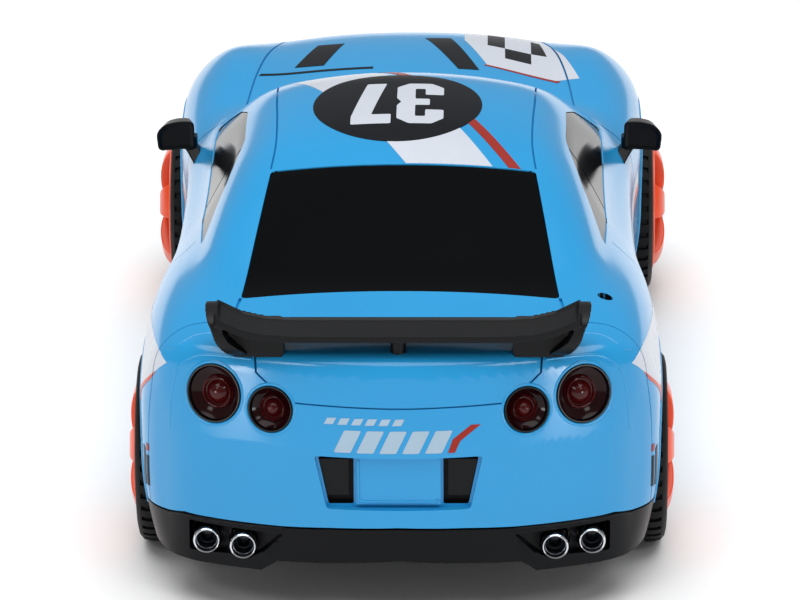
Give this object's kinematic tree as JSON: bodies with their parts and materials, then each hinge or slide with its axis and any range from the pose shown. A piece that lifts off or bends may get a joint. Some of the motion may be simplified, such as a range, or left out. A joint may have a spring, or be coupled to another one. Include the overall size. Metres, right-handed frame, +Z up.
{
  "type": "remote control car",
  "caption": "Radio-controlled sports coupe with a painted body, rear wing, orange spoked wheels, four-wheel drive and steered front wheels.",
  "frame": {"origin": "on the ground under the middle of the car, between the wheels", "axes": "+X to the car's right, +Y towards its nose, +Z up; the wheels stand on z = 0"},
  "size_m": [0.0864, 0.1936, 0.057],
  "materials": {
    "body_paint": "gloss paint",
    "window_black": "high gloss",
    "lamp_red": "high gloss",
    "headlamp_clear": "clear gloss",
    "trim_black": "satin",
    "diffuser_black": "satin gloss",
    "exhaust_chrome": "bright",
    "tyre_rubber": "matt",
    "rim_orange": "gloss",
    "steel": "bright zinc",
    "chassis_black": "moulded",
    "battery_wrap": "shrink wrap",
    "board_green": "solder mask",
    "motor_can": "nickel",
    "gear_plastic": "natural nylon"
  },
  "bodies": {
    "car": {"body_shell": "body_paint", "rear_window": "window_black", "windshield": "window_black", "side_window_left": "window_black", "side_window_right": "window_black", "tail_lamp_outer_left": "lamp_red", "tail_lamp_outer_right": "lamp_red", "tail_lamp_inner_left": "lamp_red", "tail_lamp_inner_right": "lamp_red", "headlamp_left": "headlamp_clear", "headlamp_right": "headlamp_clear", "rear_wing": "trim_black", "front_grille": "trim_black", "front_intake": "trim_black", "mirror_left": "trim_black", "mirror_right": "trim_black", "plate_vent_left": "trim_black", "plate_vent_right": "trim_black", "steering_servo": "trim_black", "rear_diffuser": "diffuser_black", "exhaust_outer_left": "exhaust_chrome", "exhaust_outer_right": "exhaust_chrome", "exhaust_inner_left": "exhaust_chrome", "exhaust_inner_right": "exhaust_chrome", "body_screw_1": "steel", "body_screw_2": "steel", "body_screw_3": "steel", "body_screw_4": "steel", "battery_door_screw": "steel", "chassis": "chassis_black", "battery_door": "chassis_black", "rear_gearbox": "chassis_black", "front_gearbox": "chassis_black", "battery": "battery_wrap", "circuit_board": "board_green", "motor": "motor_can"},
    "rear_drive": {"rear_axle": "steel", "rear_crown_gear": "gear_plastic", "tyre_rear_left": "tyre_rubber", "rim_rear_left": "rim_orange", "wheel_nut_rear_left": "steel", "tyre_rear_right": "tyre_rubber", "rim_rear_right": "rim_orange", "wheel_nut_rear_right": "steel"},
    "propshaft": {"propshaft": "gear_plastic"},
    "motor_rotor": {"motor_pinion": "steel"},
    "front_drive": {"front_driveshaft": "steel"},
    "knuckle_left": {"knuckle_left": "chassis_black"},
    "knuckle_right": {"knuckle_right": "chassis_black"},
    "front_wheel_left": {"tyre_front_left": "tyre_rubber", "rim_front_left": "rim_orange", "wheel_nut_front_left": "steel", "front_stub_axle_left": "steel"},
    "front_wheel_right": {"tyre_front_right": "tyre_rubber", "rim_front_right": "rim_orange", "wheel_nut_front_right": "steel", "front_stub_axle_right": "steel"},
    "tie_rod": {"tie_rod": "chassis_black"},
    "servo_arm": {"servo_arm": "gear_plastic"},
    "power_switch": {"power_switch": "trim_black"}
  },
  "joints": [
    {"name": "rear_axle_spin", "type": "hinge", "parent": "car", "child": "rear_drive", "pos_m": [0, -0.0593, 0.0148], "axis": [1, 0, 0], "continuous": true},
    {"name": "propshaft_spin", "type": "hinge", "parent": "car", "child": "propshaft", "pos_m": [0, 0, 0.0148], "axis": [0, 1, 0], "continuous": true},
    {"name": "motor_spin", "type": "hinge", "parent": "car", "child": "motor_rotor", "pos_m": [-0.012, -0.0425, 0.0148], "axis": [0, 1, 0], "continuous": true},
    {"name": "front_drive_spin", "type": "hinge", "parent": "car", "child": "front_drive", "pos_m": [0, 0.0565, 0.0148], "axis": [1, 0, 0], "continuous": true},
    {"name": "steer_left", "type": "hinge", "parent": "car", "child": "knuckle_left", "pos_m": [-0.0285, 0.0565, 0.0148], "axis": [0, 0, 1], "range_deg": [-18, 18]},
    {"name": "steer_right", "type": "hinge", "parent": "car", "child": "knuckle_right", "pos_m": [0.0285, 0.0565, 0.0148], "axis": [0, 0, 1], "range_deg": [-18, 18]},
    {"name": "front_wheel_left_spin", "type": "hinge", "parent": "knuckle_left", "child": "front_wheel_left", "pos_m": [-0.0365, 0.0565, 0.0148], "axis": [1, 0, 0], "continuous": true},
    {"name": "front_wheel_right_spin", "type": "hinge", "parent": "knuckle_right", "child": "front_wheel_right", "pos_m": [0.0365, 0.0565, 0.0148], "axis": [1, 0, 0], "continuous": true},
    {"name": "tie_rod_slide", "type": "slide", "parent": "car", "child": "tie_rod", "axis": [1, 0, 0], "range_m": [-0.0035, 0.0035]},
    {"name": "servo_arm_turn", "type": "hinge", "parent": "car", "child": "servo_arm", "pos_m": [-0.014, 0.0345, 0.0192], "axis": [0, 0, 1], "range_deg": [-18, 18]},
    {"name": "power_switch_slide", "type": "slide", "parent": "car", "child": "power_switch", "axis": [0, 1, 0], "range_m": [0, 0.003]}
  ],
  "couplings": [
    {"joint": "propshaft_spin", "follows": "rear_axle_spin", "ratio": -2},
    {"joint": "motor_spin", "follows": "rear_axle_spin", "ratio": 4},
    {"joint": "front_drive_spin", "follows": "rear_axle_spin", "ratio": 1},
    {"joint": "front_wheel_left_spin", "follows": "rear_axle_spin", "ratio": 1},
    {"joint": "front_wheel_right_spin", "follows": "rear_axle_spin", "ratio": 1},
    {"joint": "steer_right", "follows": "steer_left", "ratio": 1},
    {"joint": "tie_rod_slide", "follows": "steer_left", "m_per_rad": 0.011},
    {"joint": "servo_arm_turn", "follows": "steer_left", "ratio": -1}
  ]
}
